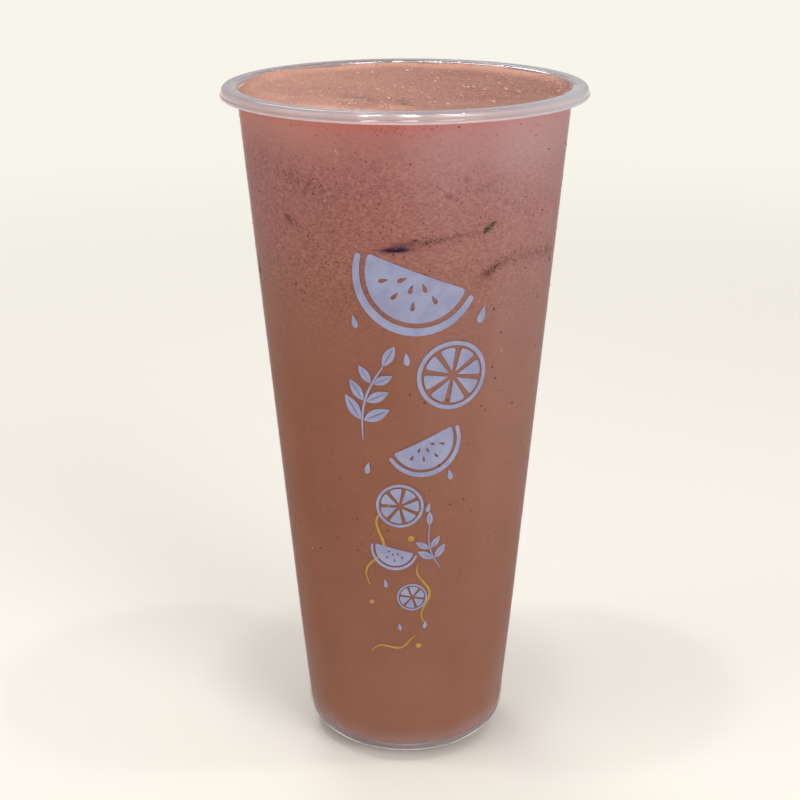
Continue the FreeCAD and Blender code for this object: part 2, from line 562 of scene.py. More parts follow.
shades = {  # colours of the drink behind the wall, by share of the cup's height
    "side": [
        (0.00, seen(144, 104, 92)),
        (0.08, seen(143, 99, 80)),
        (0.20, seen(141, 96, 78)),
        (0.40, seen(141, 94, 74)),
        (0.60, seen(141, 94, 75)),
        (0.74, seen(145, 97, 82)),
        (0.83, seen(153, 101, 92)),
        (0.90, seen(155, 103, 97)),
        (0.945, seen(164, 111, 104)),
        (0.968, seen(172, 113, 106)),
        (0.981, seen(184, 107, 95)),
        (1.00, seen(188, 110, 97)),
    ],
    "dot": seen(104, 54, 46),
    "thread": seen(190, 139, 118),
    # painted reflection: a broad pale sheen over the middle and right of the side, strongest near the
    # top
    "hazeAndPaintedLight": seen(195, 174, 178),
    "paintedEdgeSheen": seen(168, 158, 160),  # painted reflection: a pale sheen at the sides and by the heel
    # painted light: a warm, lighter band high on the left of the side
    "glow": seen(214, 160, 140),
    "stain": seen(84, 54, 44),
    "darkScrapAndShade": seen(46, 32, 52),
    # a dark scrap above the print, and painted shade around it
    "darkScrapsAndShade": [  # degrees from the front, height, heading, length, width, strength
        (-3.4, 148.7, 2, 3.8, 0.6, 1.0),
        (-2.4, 149.5, 6, 3.8, 1.2, 0.5),
    ],
    "stains": [
        (8.0, 150.7, 4, 5.5, 1.2, 0.5),
        (16.5, 151.5, 4, 5.0, 1.0, 0.3),
        (25.0, 152.4, 10, 4.5, 1.4, 0.25),
        (30.5, 153.0, 38, 2.6, 1.3, 0.45),
        (31.2, 141.2, 38, 3.0, 1.5, 0.7),
        (36.5, 143.4, 22, 4.5, 1.5, 0.45),
        (50.0, 144.0, 0, 8.0, 1.8, 0.35),
        (66.0, 142.6, -10, 5.0, 1.7, 0.4),
        (70.8, 139.7, 84, 1.6, 0.5, 0.6),
        (-44.4, 154.0, -30, 1.7, 1.5, 0.65),
        (-38.5, 151.4, -38, 3.6, 1.2, 0.3),
        (-44.8, 165.7, 0, 0.7, 0.6, 0.6),
        (-40.8, 161.3, 20, 1.3, 0.7, 0.45),
        (-33.5, 164.4, 45, 2.2, 0.8, 0.45),
        (-38.0, 164.0, -10, 6.5, 2.6, 0.25),
        (14.5, 162.0, -30, 1.3, 0.6, 0.6),
        (20.7, 165.7, 20, 1.4, 0.8, 0.45),
        (21.6, 163.3, -30, 1.2, 0.7, 0.4),
        (29.5, 164.3, 28, 3.4, 0.9, 0.35),
        (-75.0, 136.2, -60, 3.0, 1.4, 0.5),
        (140.0, 148.0, 8, 9.0, 1.8, 0.45),
        (205.0, 143.0, -12, 8.0, 2.0, 0.4),
    ],
    # painted light: the top lighter near the wall at the back
    "litTopEdge": seen(216, 158, 134),
    # painted light and shade: the top lighter at the left and darker at the right
    "litTopLeft": seen(174, 116, 95),
    "shadedTopRight": seen(138, 83, 68),
    "topShade": seen(146, 93, 76),
    "topPale": seen(198, 150, 130),
    # dark grain, also used as painted shade where the froth is softly creased
    "topDarkGrainAndCreaseShade": seen(128, 76, 63),
    # painted highlight on the lit ridge tops
    "ridgeHighlight": seen(206, 148, 124),
    # painted shade where the froth is sharply creased
    "creaseShadow": seen(106, 61, 49),
    "sharpCreaseShadows": [  # painted shade where the froth is sharply creased; x, y, heading, length, width, strength
        (-12.2, -11.8, -34, 3.6, 2.5, 1.0),
        (-8.9, -14.4, -38, 3.4, 2.4, 1.0),
        (-1.8, -12.8, -67, 3.6, 1.3, 0.6),
        (0.2, -18.3, -74, 4.2, 1.4, 0.7),
        (3.2, -21.8, -11, 3.2, 1.8, 0.8),
    ],
    # painted shade where the froth is softly creased; x, y, heading, length, width, strength
    "shadedCreases": [
        (-8.5, -8.5, -12, 8.0, 4.0, 0.35),
        (15.0, -13.5, -12, 12.0, 1.6, 0.35),
        (-21.0, 1.0, 16, 8.0, 1.5, 0.25),
        (6.0, 12.0, 4, 12.0, 2.4, 0.25),
    ],
    # painted highlight along the ridge tops; x, y, heading, length, width, strength
    "litRidges": [
        (-21.0, -24.5, -22, 9.0, 4.0, 0.9),
        (-9.0, -29.5, -10, 9.0, 3.4, 0.85),
        (-9.5, -16.5, -10, 4.5, 1.4, 0.6),
        (-1.0, -26.0, -12, 6.0, 1.5, 0.6),
        (5.0, -33.5, 4, 9.0, 2.6, 0.7),
        (-33.0, -8.0, -60, 8.0, 2.5, 0.5),
        (14.0, -22.0, -8, 8.0, 1.8, 0.3),
    ],
}


def onWall(degrees, z, lift=0.0):  # a point by the cup's outside, turned from the front to the right
    angle = math.radians(degrees)
    radius = outside(z) + lift
    return Vector((radius * math.sin(angle), -radius * math.cos(angle), z))


def smudge(place, centre, right, up, oval):  # a soft oval, strongest in its middle
    heading, length, width, strength = oval
    turn = math.radians(heading)
    delta = place.vector("SUBTRACT", centre)
    along = delta.dot(right * math.cos(turn) + up * math.sin(turn)) / length
    across = delta.dot(up * math.cos(turn) - right * math.sin(turn)) / width
    return strength * (0 - (along ** 2 + across ** 2)).maths("EXPONENT")


def stainMask(place, stains):  # soft smudges on the wall, where scraps of leaf gather
    mask = 0
    for degrees, z, *oval in stains:
        angle = math.radians(degrees)
        right = Vector((math.cos(angle), math.sin(angle), 0))
        outward = Vector((math.sin(angle), -math.cos(angle), 0))
        oval = smudge(place, onWall(degrees, z), right, Vector((0, 0, 1)), oval)
        mask += oval * (place.dot(outward) > 0)
    return mask


def topMask(place, marks):  # soft smudges on the top of the froth
    mask = 0
    for x, y, *oval in marks:
        mask += smudge(place, Vector((x, y, 0)), Vector((1, 0, 0)), Vector((0, 1, 0)), oval)
    return mask


sideBands = {  # as for the cup; a share is 0 in the middle, -1 at the left side and 1 at the right
    "frothStart": (118.0, 146.0),
    "frothEnd": (178.0, 164.0, 0.12, 1.0),
    "strandWidth": (0.035, 0.0),
    "strandPlace": (-0.02, 0.1),
    "dotSize": (0.2, 0.08),
    "reflectionShare": (-0.15, 0.3, 0.0, 0.19),
    "reflectionHeight": (10.0, 150.0),
    "rightReflectionShare": (0.42, 0.68, 0.0, 0.17),
    "rightReflectionHeight": (30.0, 150.0, 0.3, 1.0),
    "reflectionTop": (155.0, 174.0, 0.42, 1.0),
    "glowShare": (-0.25, -0.75, 0.0, 0.22),
    "glowHeight": (168.0, 178.0),
    "heelSheenShare": (0.68, 1.0, 0.0, 0.17),
    "heelSheenHeight": (42.0, 10.0),
    "wallSheenShare": (0.74, 1.0, 0.0, 0.12),
    "wallSheenHeight": (178.0, 160.0),
    "leftSheenShare": (-0.4, -0.9, 0.0, 0.08),
    "leftSheenHeight": (90.0, 150.0),
    "ragged": (-0.16, 0.12, 1.0, 0.3),
}
sideGrain = {  # a noise is scale per mm, detail, roughness and distortion
    "crinkle": (0.95, 4.0, 0.68, 0.9),
    "crinkleSquash": (1.0, 1.0, 1.5),
    "soft": (0.06, 2.0),
    "softDepth": 0.22,
    "strands": (0.75, 1.0, 0.5, 2.2),
    "strandSquash": (0.6, 0.6, 1.0),
    "dotPatches": (0.25, 2.0),
    "dotBareShare": 0.47,
    "dotsPerMm": 0.6,
    # the least, and what the froth adds to it
    "crinkleDepth": (0.2, 1.4),
    "strandStrength": (0.06, 0.62),
    "dotStrength": (0.2125, 0.6375),
    "roughness": 0.12,
    "ior": 1.03,
}


def sideLook(graph):
    place = graph.place()
    height = place.axis("Z")

    def band(value, name):
        return graph.smooth(value, *sideBands[name])

    def noise(name, squash=(1.0, 1.0, 1.0)):
        return graph.noise(place.vector("MULTIPLY", squash), *sideGrain[name])

    def inFroth(name):
        least, more = sideGrain[name]
        return least + more * frothy

    body = graph.ramp(height / cup["height"], shades["side"])
    frothy = band(height, "frothStart") * band(height, "frothEnd")
    crinkle = noise("crinkle", sideGrain["crinkleSquash"]) - 0.5
    soft = (noise("soft") - 0.5) * sideGrain["softDepth"]
    colour = body.scaled(1 + crinkle * inFroth("crinkleDepth") + soft)
    strands = (noise("strands", sideGrain["strandSquash"]) - 0.5).maths("ABSOLUTE")
    strand = band(strands, "strandWidth") * band(crinkle, "strandPlace") * inFroth("strandStrength")
    colour = graph.mixColour(strand, colour, shades["thread"])
    dots = band(graph.cells(place, sideGrain["dotsPerMm"]), "dotSize") * inFroth("dotStrength")
    dots = dots * (noise("dotPatches") > sideGrain["dotBareShare"])
    colour = graph.mixColour(dots, colour, shades["dot"])
    toRight = place.axis("X") / (height * wallSlope + cup["footDiameter"] / 2)
    # painted reflection: a broad pale sheen over the middle and the right, strongest near the top
    hazeAndPaintedLight = band(toRight, "reflectionShare") * band(height, "reflectionHeight")
    hazeAndPaintedLight += band(toRight, "rightReflectionShare") * band(height, "rightReflectionHeight")
    colour = graph.mixColour(hazeAndPaintedLight * band(height, "reflectionTop"), colour, shades["hazeAndPaintedLight"])
    # painted light: a warm, lighter band high on the left of the side
    glow = band(toRight, "glowShare") * band(height, "glowHeight")
    colour = graph.mixColour(glow, colour, shades["glow"])
    # painted reflection: a pale sheen towards the sides, low by the heel, high by the rim, and on the
    # left
    aside = toRight.maths("ABSOLUTE")
    paintedEdgeSheen = band(aside, "heelSheenShare") * band(height, "heelSheenHeight")
    paintedEdgeSheen += band(aside, "wallSheenShare") * band(height, "wallSheenHeight")
    paintedEdgeSheen += band(toRight, "leftSheenShare") * band(height, "leftSheenHeight")
    colour = graph.mixColour(paintedEdgeSheen, colour, shades["paintedEdgeSheen"])
    stains = stainMask(place, shades["stains"]) * band(crinkle, "ragged")
    colour = graph.mixColour(stains, colour, shades["stain"])
    # a dark scrap above the print, with painted shade around it
    colour = graph.mixColour(stainMask(place, shades["darkScrapsAndShade"]), colour, shades["darkScrapAndShade"])
    dull = {"IOR": sideGrain["ior"], "Specular IOR Level": 0.2}
    return graph.principled(colour, sideGrain["roughness"], dull)


topBands = {
    "toRight": (-30.0, 34.0),
    "shade": (0.62, 0.38, 0.0, 0.5),
    "broken": (0.3, 0.6, 0.5, 1.0),
    "pale": (0.58, 0.74, 0.0, 0.5),
    "dark": (0.42, 0.28, 0.0, 0.45),
    "grainSize": (0.6, 0.0),
    "edgeRadii": (35.0, 42.6, 0.0, 0.6),
    "edgeReach": (0.0, 28.0),
}
topGrain = {
    "soft": (0.09, 3.0, 0.6),
    "fine": (1.5, 3.0, 0.7),
    "cellsPerMm": 1.7,
    "fineRelief": 0.6,
    "relief": (0.16, 0.6),  # depth and strength
    "roughness": 0.42,
    "ior": 1.34,
    "glowThrough": 0.25,
    "glowRadii": (1.0, 0.45, 0.35),
    "glowDepth": 1.2,
}


def frothLook(graph):
    place = graph.place()
    soft = graph.noise(place, *topGrain["soft"])
    fine = graph.noise(place, *topGrain["fine"])

    def band(value, name):
        return graph.smooth(value, *topBands[name])

    # painted light and shade: the top lighter at the left and darker at the right
    colour = graph.mixColour(band(place.axis("X"), "toRight"), shades["litTopLeft"], shades["shadedTopRight"])
    colour = graph.mixColour(band(soft, "shade"), colour, shades["topShade"])
    broken = band(soft, "broken")
    # painted highlight on the ridge tops
    colour = graph.mixColour(topMask(place, shades["litRidges"]) * broken, colour, shades["ridgeHighlight"])
    # painted shade in the creased hollows, soft and sharp
    colour = graph.mixColour(topMask(place, shades["shadedCreases"]) * broken, colour, shades["topDarkGrainAndCreaseShade"])
    colour = graph.mixColour(topMask(place, shades["sharpCreaseShadows"]), colour, shades["creaseShadow"])
    colour = graph.mixColour(band(fine, "pale"), colour, shades["topPale"])
    colour = graph.mixColour(band(fine, "dark"), colour, shades["topDarkGrainAndCreaseShade"])
    cells = graph.cells(place, topGrain["cellsPerMm"])
    relief = band(cells, "grainSize") + fine * topGrain["fineRelief"]
    far = place.fromAxis()
    # painted light: the top lighter near the wall at the back
    lit = band(far, "edgeRadii") * band(place.axis("Y"), "edgeReach")
    colour = graph.mixColour(lit, colour, shades["litTopEdge"])
    return graph.principled(colour, topGrain["roughness"], {
        "IOR": topGrain["ior"],
        "Normal": graph.bump(relief, *topGrain["relief"]),
        "Subsurface Weight": topGrain["glowThrough"],
        "Subsurface Radius": topGrain["glowRadii"],
        "Subsurface Scale": topGrain["glowDepth"] * mm,
    })


def foamNodes(graph, inputs):  # raises small domes and wrinkles on the top of the froth
    place = graph.make("GeometryNodeInputPosition").scaled(1 / mm)
    upward = graph.make("GeometryNodeInputNormal").axis("Z")
    onTop = (upward > 0.5) * (place.axis("Z") > inputs["Lowest top"])
    domes = graph.cells(place, inputs["Domes per mm"], "SMOOTH_F1")
    stretched = place.vector("MULTIPLY", (0.55, 1.5, 1.0))
    wide = graph.noise(stretched, inputs["Wrinkles per mm"], 3.0, 0.6, 0.6)
    lift = (0.55 - domes) * inputs["Dome height"] + (wide - 0.5) * inputs["Wrinkle height"]
    offset = graph.combined(0.0, 0.0, lift * mm)
    moved = {"Geometry": inputs["Geometry"], "Selection": onTop, "Offset": offset}
    return graph.make("GeometryNodeSetPosition", {}, moved), onTop


def makeDrink():
    side = newMaterial("drinkSide", sideLook)
    top = newMaterial("frothTop", frothLook)
    skin = drink["skin"]
    heel = roundedOutline([
        (0, floorTop - skin, 0),
        (drinkEdge(floorTop), floorTop - skin, cup["innerHeelRadius"] + skin),
        (inside(mixLevel) + drink["heelSkin"], mixLevel, 0),
    ])
    below = [p for p in heel if p.y < floorTop + cup["innerHeelRadius"] + 1]  # up to just past the heel
    lowest = below[-1].y
    hidden = drink["hiddenRings"]
    rises = drink["wallRings"]
    tops = drink["topRings"]
    rings = [fixedRing(p.x, p.y) for p in below]
    rings += [wallRing(k / rises, lambda x, y: lowest, frothBottom) for k in range(1, rises + 1)]
    rings += [drinkRing(1 - k / hidden, frothBottom) for k in range(1, hidden + 1)]
    lemonadeMesh = turnedRings("lemonade", rings, drink["segments"])
    lemonadeMesh.materials.append(side)
    rings = [drinkRing(k / hidden, frothBottom) for k in range(hidden + 1)]
    rings += [wallRing(k / rises, frothBottom, frothTop) for k in range(1, rises + 1)]
    rings += [drinkRing(1 - (k / tops) ** drink["topCrowding"], frothTop) for k in range(1, tops + 1)]
    frothMesh = turnedRings("froth", rings, drink["segments"])
    frothMesh.materials.append(side)
    frothMesh = growNodes("froth", foam, foamNodes, top, frothMesh)
    addPiece("lemonadeBody", lemonadeMesh, "lemonade")
    return addPiece("frothBody", frothMesh, "froth")


# Small things in the drink and on it

def scatterNodes(graph, inputs):  # flattened beads on the faces between two heights, thinned in patches
    place = graph.make("GeometryNodeInputPosition").scaled(1 / mm)
    facing = graph.make("GeometryNodeInputNormal").axis("Z")
    height = place.axis("Z")
    chosen = (facing > inputs["Least facing up"]) * (height > inputs["Lowest"])
    chosen = chosen * (height < inputs["Highest"])
    patches = graph.noise(place, inputs["Patches per mm"], 2.0)
    density = chosen * (patches > inputs["Bare share"]) * inputs["Beads per square metre"]
    spread = {"Mesh": inputs["Geometry"], "Density": density, "Seed": inputs["Seed"]}
    points = graph.make("GeometryNodeDistributePointsOnFaces", {}, spread)
    chance = {"Min": 0.0, "Max": 1.0, "Seed": inputs["Seed"]}
    size = graph.random(chance) ** inputs["Rarity of large"]
    size = inputs["Smallest"] + (inputs["Largest"] - inputs["Smallest"]) * size
    lengths = [size * inputs["Stretch"], size, size * inputs["Thickness share"]]
    angle = graph.random({**chance, "Min": -1.0}) * inputs["Turn"] + inputs["Heading"]
    spin = graph.make("FunctionNodeAxisAngleToRotation", {}, {"Axis": (0, 0, 1), "Angle": angle})
    turned = {"Rotation": points.output("Rotation"), "Rotate By": spin}
    rotation = graph.make("FunctionNodeRotateRotation", {"rotation_space": "LOCAL"}, turned)
    ball = {"Radius": mm, "Subdivisions": inputs["Roundness"]}
    bead = graph.make("GeometryNodeMeshIcoSphere", {}, ball)
    return graph.make("GeometryNodeInstanceOnPoints", {}, {
        "Points": points,
        "Instance": bead,
        "Rotation": rotation,
        "Scale": graph.combined(*lengths),
    })


bubble = {  # what all bubbles share
    "Thickness share": 0.5,
    "Lowest": 179.0,
    "Highest": 183.0,
    "Least facing up": 0.5,
}
scatterings = {  # what lies in the drink against the wall, or on top of it
    "common": {
        "Beads per square metre": 20000.0,
        "Smallest": 0.1,
        "Largest": 0.3,
        "Rarity of large": 2.5,
        "Stretch": 1.0,
        "Thickness share": 0.3,
        "Turn": 3.14,
        "Heading": 0.0,
        "Lowest": 8.0,
        "Highest": 179.0,
        "Least facing up": -0.5,
        "Patches per mm": 0.12,
        "Bare share": 0.5,
        "Roundness": 1,
        "Seed": 1,
    },
    "darkSpecks": {
        "Beads per square metre": 62000.0,
        "Largest": 0.40,
        "Rarity of large": 3.5,
        "Stretch": 1.3,
        "Lowest": 60.0,
        "Highest": 171.0,
        "Seed": 4,
    },
    "rimSpecks": {
        "Beads per square metre": 200000.0,
        "Largest": 0.26,
        "Lowest": 175.8,
        "Highest": 179.8,
        "Seed": 9,
    },
    "pulpThreads": {
        "Beads per square metre": 90000.0,
        "Smallest": 0.07,
        "Largest": 0.14,
        "Stretch": 4.5,
        "Turn": 1.2,
        "Heading": 0.5,
        "Lowest": 112.0,
        "Highest": 168.0,
        "Bare share": 0.42,
        "Seed": 12,
    },
    "fineBubbles": {
        **bubble,
        "Beads per square metre": 1400000.0,
        "Largest": 0.29,
        "Rarity of large": 2.4,
        "Patches per mm": 0.15,
        "Bare share": 0.3,
        "Seed": 21,
    },
    "largeBubbles": {
        **bubble,
        "Beads per square metre": 45000.0,
        "Smallest": 0.3,
        "Largest": 0.75,
        "Rarity of large": 2.0,
        "Patches per mm": 0.2,
        "Roundness": 2,
        "Seed": 30,
    },
}
beadLooks = {  # darker colour, lighter colour, grain per mm
    "darkSpecks": (seen(92, 46, 40), seen(126, 72, 62), 3.0),
    "rimSpecks": (seen(142, 74, 68), seen(158, 90, 82), 3.0),
    "pulpThreads": (seen(152, 102, 86), seen(170, 120, 104), 2.0),
    "bubbles": (seen(172, 120, 103), seen(200, 150, 131), 1.0),
}


def mottled(dark, light, grain, roughness, depth=0.02, more=None):  # a look between two colours
    def build(graph):
        spots = graph.noise(graph.place(), grain, 3.0, 0.6)
        colour = graph.mixColour(graph.smooth(spots, 0.35, 0.65), dark, light)
        return graph.principled(colour, roughness, {"Normal": graph.bump(spots, depth), **(more or {})})
    return build


def dullMottled(dark, light, grain):  # for what the drink covers
    return mottled(dark, light, grain, 0.6, more={"Specular IOR Level": 0.1})


def wallStrip(low, high, segments=180, rowHeight=2):  # the part of the wall that small things lie on
    rows = math.ceil((high - low) / rowHeight)
    heights = [low + (high - low) * k / rows for k in range(rows + 1)]
    rings = [fixedRing(inside(z) + drink["wallSkin"], z) for z in heights]
    points = [ring(2 * math.pi * k / segments) for ring in rings for k in range(segments)]
    faces = []
    for i in range(rows):
        for k in range(segments):
            after = (k + 1) % segments
            row = i * segments
            faces.append((row + k, row + after, row + segments + after, row + segments + k))
    mesh = bpy.data.meshes.new("wallStrip")
    mesh.from_pydata(placed(points), [], faces)
    return mesh


def scatter(name, source, look):
    sizes = {**scatterings["common"], **scatterings[name]}
    mesh = growNodes(name, sizes, scatterNodes, newMaterial(name, look), source)
    return addPiece(name, mesh)


def scatterAll(froth):
    strips = (  # name, where its strip of wall starts, slot
        ("darkSpecks", 8, "lemonade"),
        ("rimSpecks", 170, "froth"),
        ("pulpThreads", 20, "lemonade"),
    )
    for name, low, slot in strips:
        scatter(name, wallStrip(low, 180), dullMottled(*beadLooks[name]))
    shiny = {"IOR": 1.33, "Coat Weight": 0.3, "Coat Roughness": 0.08}
    for name in ("fineBubbles", "largeBubbles"):
        scatter(name, froth.data.copy(), mottled(*beadLooks["bubbles"], 0.2, 0.01, shiny))


# Flat shapes laid on the cup: lists of outlines, the first of each the edge and the others its holes

def arc(radius, start, end, centre=(0, 0), step=8):
    steps = max(1, math.ceil(abs(end - start) / step))
    turns = [math.radians(start + (end - start) * k / steps) for k in range(steps + 1)]
    return [Vector(centre) + Vector((math.cos(t), math.sin(t))) * radius for t in turns]


def circle(radius, centre=(0, 0)):
    return arc(radius, 0, 360, centre)[:-1]


def heading(start, end):
    return math.degrees(math.atan2(end.y - start.y, end.x - start.x))


def stroke(path, width, endShare=1.0):  # a line with round ends, narrowed there to a share of its width
    halves = []
    for i in range(len(path)):
        middle = math.sin(math.pi * i / (len(path) - 1))
        halves.append(width / 2 * (endShare + (1 - endShare) * middle))
    sides = []
    for i in range(len(path)):
        along = path[min(i + 1, len(path) - 1)] - path[max(i - 1, 0)]
        sides.append(Vector((-along.y, along.x)).normalized() * halves[i])
    first = heading(path[0], path[1])
    last = heading(path[-2], path[-1])
    left = [point + side for point, side in zip(path, sides)]
    right = [point - side for point, side in zip(path, sides)]
    farEnd = arc(halves[-1], last + 90, last - 90, path[-1], 30)[1:-1]
    nearEnd = arc(halves[0], first - 90, first - 270, path[0], 30)[1:-1]
    return left + farEnd + right[::-1] + nearEnd


def turnedBy(outline, degrees, x=0, y=0):
    turn = Matrix.Rotation(math.radians(degrees), 2)
    return [turn @ point + Vector((x, y)) for point in outline]


def teardrop(length, width, steps=18):
    outline = []
    for k in range(steps):
        turn = 2 * math.pi * k / steps
        bulge = math.sin(turn) * math.sin(turn / 2) ** 1.4
        outline.append(Vector((width / 2 * bulge, length / 2 * math.cos(turn))))
    return outline


def leafShape(length, width, steps=14):
    side = []
    for share in (k / steps for k in range(steps + 1)):
        belly = math.sin(math.pi * share) ** 0.85 * (1.15 - 0.3 * share)  # fullest nearer the stalk
        side.append(Vector((share * length, width / 2 * belly)))
    edge = side + [Vector((p.x, -p.y)) for p in side[-2:0:-1]]
    vein = [Vector((length * share, 0)) for share in (0.12, 0.3, 0.5, 0.7, 0.82)]
    return [edge, stroke(vein, width * 0.07, 0.5)]


melonSeeds = ((0.66, 215), (0.62, 248), (0.66, 284), (0.62, 322), (0.32, 226), (0.34, 270), (0.32, 314))


def melonSlice(radius, rind=0.13, gap=0.075):
    flesh = radius * (1 - rind - gap)
    skin = stroke(arc(radius * (1 - rind / 2), 187, 353), radius * rind, 0.75)
    bow = [(p.x, p.y, 0) for p in arc(flesh, 186, 354)]
    corner = flesh * 0.07
    edge = roundedOutline([(-flesh, 0, corner), *bow, (flesh, 0, corner)], longestStep=radius)
    seeds = []
    for share, degrees in melonSeeds:
        place = arc(flesh * share, degrees, degrees)[0]
        seeds.append(turnedBy(teardrop(flesh * 0.2, flesh * 0.12), degrees + 90, place.x, place.y))
    return [[skin], [edge, *seeds]]


def citrusWheel(radius, segments=8, gap=6):
    groups = [[circle(radius), circle(radius * 0.88)]]
    half = 180 / segments - gap
    rounding = radius * 0.07
    for k in range(segments):
        middle = 360 * k / segments
        bow = [(p.x, p.y, 0) for p in arc(radius * 0.81, middle - half, middle + half)]
        tip = arc(radius * 0.13, middle, middle)[0]
        bow[0] = (*bow[0][:2], rounding)
        bow[-1] = (*bow[-1][:2], rounding)
        groups.append([roundedOutline([(tip.x, tip.y, 0), *bow], longestStep=radius)])
    return groups


def leafSprig(length, pairs=3):
    shares = [k / 12 for k in range(13)]
    stem = [Vector((length * share, length * 0.10 * math.sin(math.pi * share))) for share in shares]
    groups = [[stroke(stem, length * 0.028, 0.6)]]

    def grow(size, width, degrees, x, y):
        groups.append([turnedBy(outline, degrees, x, y) for outline in leafShape(size, width)])

    for k in range(pairs):
        foot = stem[3 + 3 * k]
        size = length * (0.36 - 0.05 * k)
        for side in (1, -1):
            grow(size, size * 0.42, side * 48, foot.x, foot.y + side * length * 0.02)
    grow(length * 0.3, length * 0.13, -14, stem[-1].x + length * 0.012, stem[-1].y)
    return groups


def juiceDrop(length):
    return [[teardrop(length, length * 0.62)]]


def waveLine(length, height, waves, width):
    shares = [k / 48 for k in range(49)]
    path = [Vector((length * (s - 0.5), height / 2 * math.sin(2 * math.pi * waves * s))) for s in shares]
    return [[stroke(path, width, 0.35)]]


def dot(radius):
    return [[circle(radius)]]


def layOnWall(sheet, groups, degrees, z, turn, lift, thickness, cutStep=1.5):  # fills and bends shapes
    shape = bmesh.new()
    for outlines in groups:
        edges = []
        for outline in outlines:
            corners = [shape.verts.new((*p, 0)) for p in turnedBy(outline, turn)]
            edges += [shape.edges.new(pair) for pair in zip(corners, corners[1:] + corners[:1])]
        bmesh.ops.triangle_fill(shape, edges=edges, use_beauty=True, normal=(0, 0, 1))
    reach = max(abs(vertex.co.x) for vertex in shape.verts)
    for k in range(-int(reach / cutStep), int(reach / cutStep) + 1):
        everything = shape.verts[:] + shape.edges[:] + shape.faces[:]
        bmesh.ops.bisect_plane(shape, geom=everything, plane_co=(k * cutStep, 0, 0), plane_no=(1, 0, 0))

    def bent(vertex, out):
        height = z + vertex.co.y
        return onWall(degrees + math.degrees(vertex.co.x / outside(height)), height, out) * mm

    under = {v: sheet.verts.new(bent(v, lift)) for v in shape.verts}
    over = {v: sheet.verts.new(bent(v, lift + thickness)) for v in shape.verts}
    for face in shape.faces:
        sheet.faces.new([over[v] for v in face.verts])
        sheet.faces.new([under[v] for v in reversed(face.verts)])
    for edge in shape.edges:
        if edge.is_boundary:
            a, b = edge.verts
            sheet.faces.new((under[a], under[b], over[b], over[a]))
    shape.free()


def sheetPiece(name, sheet, look):
    mesh = bpy.data.meshes.new(name)
    bmesh.ops.recalc_face_normals(sheet, faces=sheet.faces)
    sheet.to_mesh(mesh)
    sheet.free()
    mesh.materials.append(newMaterial(name, look))
    tellTriangles(name, mesh)
    return addPiece(name, mesh)


# Print: fruit in pale ink and thin ochre lines

printed = {
    "lift": -0.01,
    "inkThickness": 0.07,
    "ochreThickness": 0.04,
    # darker colour, lighter colour, grain per mm, roughness
    "inkLook": (seen(133, 135, 167), seen(145, 147, 177), 0.25, 0.5),
    "ochreLook": (seen(160, 122, 46), seen(174, 134, 56), 0.6, 0.4),
    "ink": [  # shape, degrees from the front, height, turn
        (melonSlice(16.5), 4.5, 143.0, -22),
        (citrusWheel(9.2), 18.5, 115.5, 12),
        (leafSprig(21.0), -17.5, 98.0, 74),
        (melonSlice(10.2), 7.0, 98.0, 26),
        (citrusWheel(6.2, 7), -2.5, 79.5, 0),
        (leafSprig(13.0, 2), 16.0, 61.0, 104),
        (melonSlice(6.4), -5.0, 67.0, -15),
        (citrusWheel(4.0, 6), 3.0, 52.5, 20),
        (juiceDrop(4.8), 29.5, 131.0, -18),
        (juiceDrop(3.6), 0.5, 120.5, 6),
        (juiceDrop(3.6), -19.0, 130.0, 12),
        (juiceDrop(3.4), -16.0, 90.0, -12),
        (juiceDrop(3.2), 19.0, 88.0, 14),
        (juiceDrop(2.8), 10.0, 79.0, -14),
        (juiceDrop(2.6), -9.5, 56.5, 8),
        (juiceDrop(2.4), 9.5, 44.0, -12),
        (juiceDrop(2.4), -3.0, 43.5, 10),
    ],
    "ochre": [
        (waveLine(25.0, 3.4, 1.6, 0.8), -12.5, 68.0, 78),
        (waveLine(19.0, 2.8, 1.4, 0.7), 9.0, 53.0, 96),
        (waveLine(13.0, 2.2, 1.2, 0.65), -6.0, 37.5, 20),
        (dot(0.85), 2.5, 70.0, 0),
        (dot(0.65), -16.5, 50.5, 0),
        (dot(0.75), 6.5, 37.5, 0),
    ],
}


def makePrint():
    for kind, name, slot in (("ink", "printInk", "print_ink"), ("ochre", "ochreInk", "ochre_ink")):
        sheet = bmesh.new()
        for groups, degrees, z, turn in printed[kind]:
            layOnWall(sheet, groups, degrees, z, turn, printed["lift"], printed[kind + "Thickness"])
        sheetPiece(name, sheet, mottled(*printed[kind + "Look"]))


# Scraps of leaf caught in the drink against the wall

